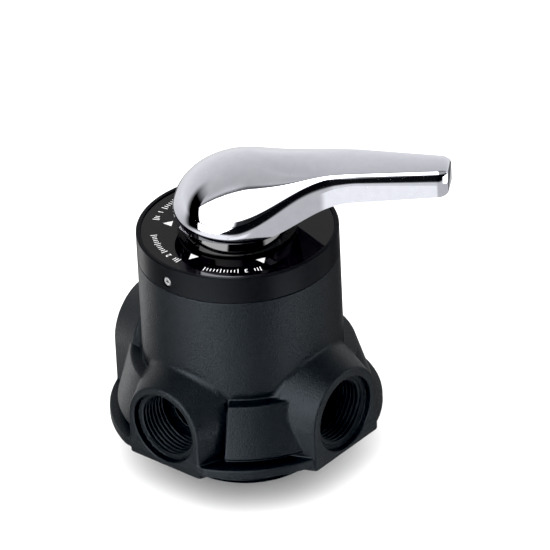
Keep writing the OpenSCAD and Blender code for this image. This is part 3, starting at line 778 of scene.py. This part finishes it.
def make_dome():
    """Soft studio that surrounds the valve, as a ball around it with its own glow."""
    radius = 8
    dome, nodes, links, glow = glowing("reflected_studio", lambda shape: bmesh.ops.create_uvsphere(
        shape, u_segments=64, v_segments=32, radius=radius))
    dome.rotation_euler = (0, 0, math.radians(CAMERA_AZIMUTH - 90))

    def calc(operation, *values):
        node = nodes.new("ShaderNodeMath")
        node.operation = operation
        for socket, value in zip(node.inputs, values):
            if isinstance(value, (int, float)):
                socket.default_value = value
            else:
                links.new(value, socket)
        return node.outputs["Value"]

    def fade(value, start, end, low=0.0, high=1.0):
        node = nodes.new("ShaderNodeMapRange")
        node.interpolation_type = "SMOOTHSTEP"
        for name, number in (("From Min", start), ("From Max", end), ("To Min", low), ("To Max", high)):
            node.inputs[name].default_value = number
        links.new(value, node.inputs["Value"])
        return node.outputs["Result"]

    where = nodes.new("ShaderNodeTexCoord")
    parts = nodes.new("ShaderNodeSeparateXYZ")
    links.new(where.outputs["Object"], parts.inputs["Vector"])
    left, front, up = (calc("DIVIDE", parts.outputs[axis], radius) for axis in "XYZ")
    ramp = nodes.new("ShaderNodeValToRGB")
    over = calc("ARCTAN2", up, front)
    links.new(calc("MULTIPLY_ADD", over, 1 / (2 * math.pi), 0.5), ramp.inputs["Fac"])
    stops = ramp.color_ramp.elements
    while len(stops) < len(REFLECTED):
        stops.new(1)
    for stop, (angle, level) in zip(list(stops), REFLECTED):
        stop.position = (angle + 180) / 360
        stop.color = (level, level, level, 1)

    def both(first, second):
        return calc("MULTIPLY", first, second)

    def darkened(level, mask):
        return both(level, calc("SUBTRACT", 1, mask))

    # dark screen on the left, which leans back over the horizon
    around = calc("ARCTAN2", left, front)
    lean = calc("SUBTRACT", around, both(calc("MAXIMUM", calc("ARCSINE", up), 0.0), 0.55))
    screen = both(fade(lean, math.radians(66), math.radians(69)),
                  fade(lean, math.radians(90), math.radians(106), 1, 0))
    screen = both(screen, both(fade(up, 0.45, 0.75, 1, 0), fade(up, -0.42, -0.30)))
    # dark corner low behind on the right
    corner = both(both(fade(left, -0.10, -0.35), fade(front, -0.3, -0.6)), fade(up, 0.0, -0.2))
    level = darkened(calc("SUBTRACT", 1, screen), both(corner, 0.85))
    # the front half is brighter on the left and darker on the right
    tilt = both(fade(left, -0.05, 0.40, -0.25, 0.45), fade(front, 0.0, 0.3))
    level = both(level, calc("ADD", 1, tilt))
    # the bright front ends a little to the right of the camera
    before = fade(front, 0.0, 0.2)
    right_end = fade(around, math.radians(-12), math.radians(2), 0.12, 1)
    level = darkened(level, both(calc("SUBTRACT", 1, right_end), both(fade(up, -0.02, 0.03), before)))
    # and its lower edge is higher there
    lower = both(fade(around, math.radians(6), math.radians(22), 1, 0), fade(up, 0.11, 0.17, 1, 0))
    lower = both(lower, both(fade(up, -0.09, -0.07), before))
    level = darkened(level, both(lower, 0.99))
    links.new(level, glow.inputs["Strength"])
    links.new(ramp.outputs["Color"], glow.inputs["Color"])


def glowing_card(name, start, end, low, high, level, soft_left, soft_right, slant):
    """Upright screen near the valve, bent round its axis, that fades out at its two ends."""
    def build(shape):
        edge = shape.verts.layers.float.new("edge")
        columns = []
        for angle in np.linspace(start, end, 61):
            columns.append([])
            for z, shift in ((low, slant * (angle - start) / (end - start)), (high, 0)):
                foot = direction(CAMERA_AZIMUTH + angle - shift, 0) * CARD_DISTANCE
                columns[-1].append(shape.verts.new((foot.x, foot.y, z * MM)))
            for vert in columns[-1]:
                vert[edge] = ease((angle - start) / soft_left) * ease((end - angle) / soft_right)
        for left, right in zip(columns, columns[1:]):
            shape.faces.new((left[0], right[0], right[1], left[1]))
    _, nodes, links, glow = glowing(name, build)
    faded = nodes.new("ShaderNodeAttribute")
    faded.attribute_name = "edge"
    clear = nodes.new("ShaderNodeBsdfTransparent")
    mix = nodes.new("ShaderNodeMixShader")
    links.new(faded.outputs["Fac"], mix.inputs["Fac"])
    links.new(clear.outputs["BSDF"], mix.inputs[1])
    links.new(glow.outputs["Emission"], mix.inputs[2])
    links.new(mix.outputs["Shader"], nodes["Material Output"].inputs["Surface"])
    glow.inputs["Strength"].default_value = level


def make_floor():
    shape = bmesh.new()
    bmesh.ops.create_circle(shape, cap_ends=True, radius=12, segments=96)
    floor = add_object("floor", to_mesh("floor", shape))
    floor.visible_glossy = False
    material, shader = new_material("pale_floor")
    shader.inputs["Base Color"].default_value = (0.95, 0.95, 0.95, 1)
    shader.inputs["Roughness"].default_value = 0.9
    shader.inputs["Specular IOR Level"].default_value = 0.0
    floor.data.materials.append(material)


def make_lights():
    """Even light for the matt faces. The cards and the dome are what the shiny faces see."""
    world = bpy.data.worlds.new("studio")
    bpy.context.scene.world = world
    world.use_nodes = True
    world.cycles_visibility.glossy = False
    background = world.node_tree.nodes["Background"]
    background.inputs["Color"].default_value = (1, 1, 1, 1)
    background.inputs["Strength"].default_value = 1.8
    softbox("key", -40, 55, 1.6, 1.2, 1.0, 1.5)
    softbox("fill", 48, 45, 1.6, 0.8, 0.8, 1.0)
    make_dome()
    for name, card in CARDS.items():
        glowing_card(name, *card)


def make_view():
    """Plain view with the black point just under the darkest reflections."""
    view = bpy.context.scene.view_settings
    view.view_transform = "Standard"
    view.use_curve_mapping = True
    view.curve_mapping.black_level = (0.0045, 0.0043, 0.0038)
    view.curve_mapping.update()


make_camera()
make_body()
port_thread("inlet_thread", 0, PORT_FACE, AXIS_Z)
port_thread("outlet_thread", 180, PORT_FACE, OUTLET_Z)
port_thread("drain_thread", -90, DRAIN_FACE, AXIS_Z)
thread_ring("tank_thread", NECK_MINOR_R, NECK_R, NECK_MINOR_R - 0.8, NECK_PITCH,
            FLANGE_Z - SEAL_LAND_H - 1, Matrix.Translation((0, 0, 0.6)))
make_ring()
make_marks()
make_hub()
make_lever()
dress_nodes()
make_floor()
make_lights()
make_view()
